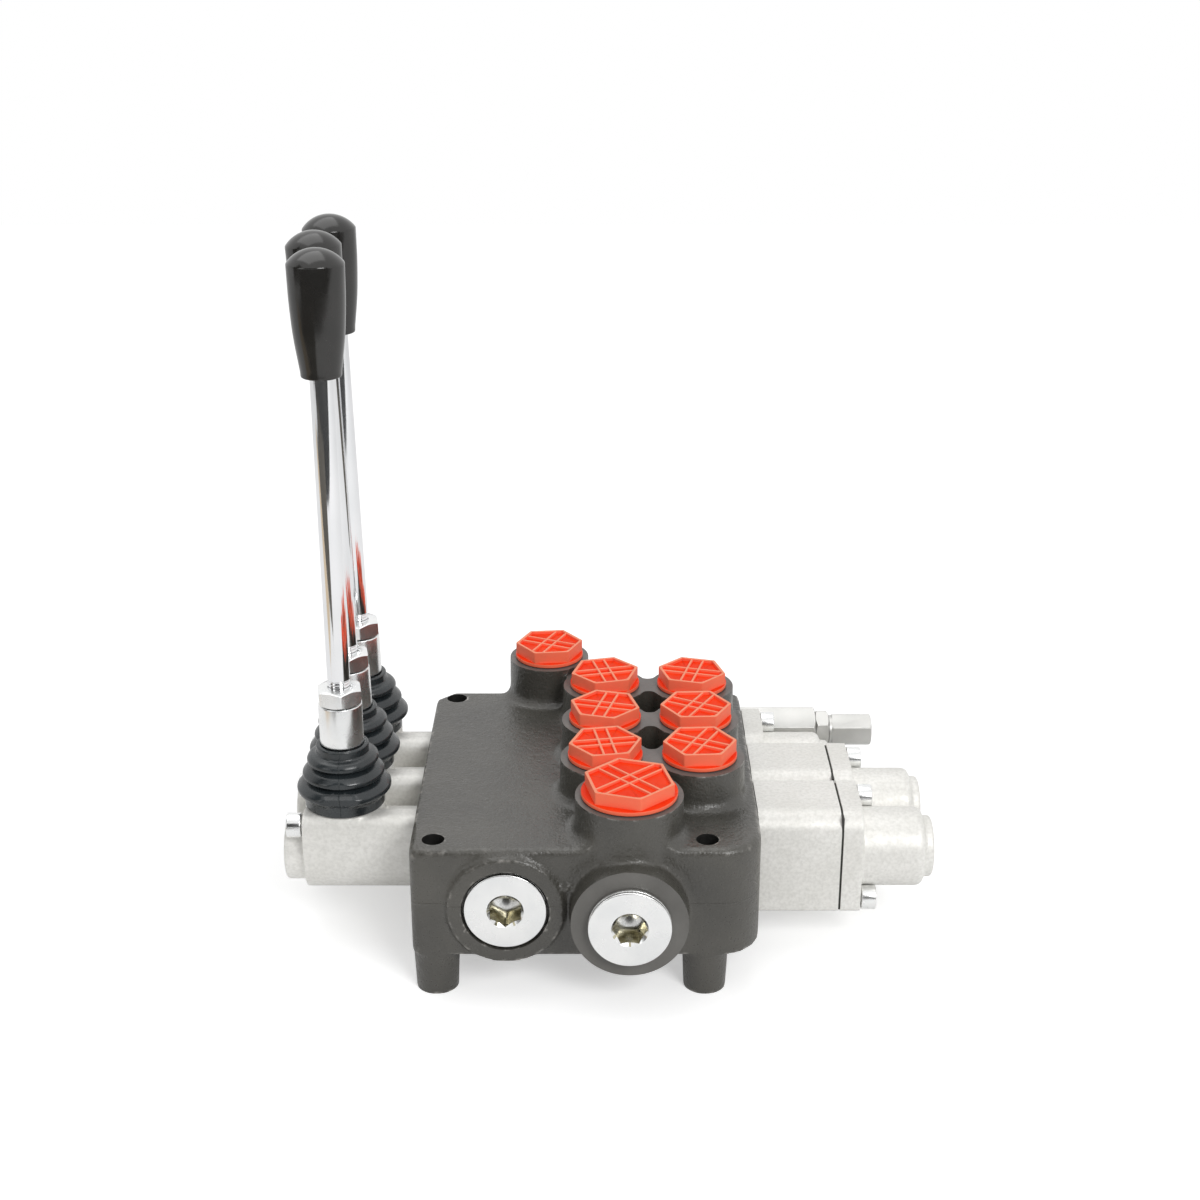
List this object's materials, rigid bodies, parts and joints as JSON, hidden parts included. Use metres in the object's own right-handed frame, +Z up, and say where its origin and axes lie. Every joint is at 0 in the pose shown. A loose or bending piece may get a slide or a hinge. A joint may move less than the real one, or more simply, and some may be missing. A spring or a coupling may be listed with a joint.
{
  "type": "hydraulic monoblock directional valve",
  "caption": "Cast monoblock hydraulic valve on feet: hand levers in rubber boots move spools inside, with capped ports on top, gallery plugs in front and spring caps at the side.",
  "frame": {"origin": "middle of the object's footprint, on the plane of the feet", "axes": "+X along the spools from the levers to the spring caps, +Y from the front plugs to the rear, +Z up"},
  "size_m": [0.2622, 0.179, 0.283],
  "materials": {
    "body_paint": "dark grey paint on a sand casting, satin, worn bright along cast edges",
    "cap_red": "moulded orange-red polyethylene, satin gloss",
    "zinc_steel": "bright zinc plated steel",
    "cast_aluminium": "die-cast aluminium, blasted matt",
    "chrome_rod": "polished chrome plate",
    "black_knob": "gloss black moulded plastic",
    "boot_rubber": "black moulded rubber with a soft sheen",
    "hard_steel": "ground and oiled steel"
  },
  "bodies": {
    "root": {"valve_body": "body_paint", "port_cap_a1": "cap_red", "port_cap_a2": "cap_red", "port_cap_a3": "cap_red", "port_cap_b1": "cap_red", "port_cap_b2": "cap_red", "port_cap_b3": "cap_red", "inlet_port_cap": "cap_red", "tank_port_cap": "cap_red", "inlet_gallery_plug": "zinc_steel", "tank_gallery_plug": "zinc_steel", "bracket_screw_upper_1": "zinc_steel", "bracket_screw_upper_2": "zinc_steel", "bracket_screw_upper_3": "zinc_steel", "bracket_screw_lower_1": "zinc_steel", "bracket_screw_lower_2": "zinc_steel", "bracket_screw_lower_3": "zinc_steel", "cap_screw_upper_1": "zinc_steel", "cap_screw_upper_2": "zinc_steel", "cap_screw_upper_3": "zinc_steel", "cap_screw_lower_1": "zinc_steel", "cap_screw_lower_2": "zinc_steel", "cap_screw_lower_3": "zinc_steel", "relief_valve_body": "zinc_steel", "relief_lock_nut": "zinc_steel", "relief_cap_nut": "zinc_steel", "lever_bracket_1": "cast_aluminium", "lever_bracket_2": "cast_aluminium", "lever_bracket_3": "cast_aluminium", "spring_box_1": "cast_aluminium", "spring_box_2": "cast_aluminium", "end_cap_1": "cast_aluminium", "end_cap_2": "cast_aluminium", "end_cap_3": "cast_aluminium", "bellows_1": "boot_rubber", "bellows_2": "boot_rubber", "bellows_3": "boot_rubber", "centering_spring_1": "hard_steel", "centering_spring_2": "hard_steel", "centering_spring_3": "hard_steel", "relief_poppet": "hard_steel", "relief_spring": "hard_steel"},
    "lever_1": {"lever_stub_1": "zinc_steel", "lock_nut_1": "zinc_steel", "lever_rod_1": "chrome_rod", "lever_knob_1": "black_knob"},
    "spool_1": {"spool_1": "hard_steel", "spring_bolt_1": "zinc_steel"},
    "lever_2": {"lever_stub_2": "zinc_steel", "lock_nut_2": "zinc_steel", "lever_rod_2": "chrome_rod", "lever_knob_2": "black_knob"},
    "spool_2": {"spool_2": "hard_steel", "spring_bolt_2": "zinc_steel"},
    "lever_3": {"lever_stub_3": "zinc_steel", "lock_nut_3": "zinc_steel", "lever_rod_3": "chrome_rod", "lever_knob_3": "black_knob"},
    "spool_3": {"spool_3": "hard_steel", "spring_bolt_3": "zinc_steel"}
  },
  "joints": [
    {"name": "lever_1_swing", "type": "hinge", "parent": "root", "child": "lever_1", "pos_m": [-0.10675, -0.0245, 0.0585], "axis": [0, 1, 0], "range_deg": [-14, 14], "stiffness_Nm_per_rad": 4, "deforming": ["bellows_1"]},
    {"name": "lever_2_swing", "type": "hinge", "parent": "root", "child": "lever_2", "pos_m": [-0.10675, 0.0105, 0.0585], "axis": [0, 1, 0], "range_deg": [-12.5, 15.5], "stiffness_Nm_per_rad": 4, "deforming": ["bellows_2"]},
    {"name": "lever_3_swing", "type": "hinge", "parent": "root", "child": "lever_3", "pos_m": [-0.10675, 0.0455, 0.0585], "axis": [0, 1, 0], "range_deg": [-12.8, 15.2], "stiffness_Nm_per_rad": 4, "deforming": ["bellows_3"]},
    {"name": "spool_1_travel", "type": "slide", "parent": "root", "child": "spool_1", "axis": [1, 0, 0], "range_m": [-0.00494, 0.00494], "deforming": ["centering_spring_1"]},
    {"name": "spool_2_travel", "type": "slide", "parent": "root", "child": "spool_2", "axis": [1, 0, 0], "range_m": [-0.00546, 0.00441], "deforming": ["centering_spring_2"]},
    {"name": "spool_3_travel", "type": "slide", "parent": "root", "child": "spool_3", "axis": [1, 0, 0], "range_m": [-0.00536, 0.00452], "deforming": ["centering_spring_3"]}
  ],
  "couplings": [
    {"joint": "spool_1_travel", "follows": "lever_1_swing", "m_per_rad": -0.02},
    {"joint": "spool_2_travel", "follows": "lever_2_swing", "m_per_rad": -0.02},
    {"joint": "spool_3_travel", "follows": "lever_3_swing", "m_per_rad": -0.02}
  ]
}
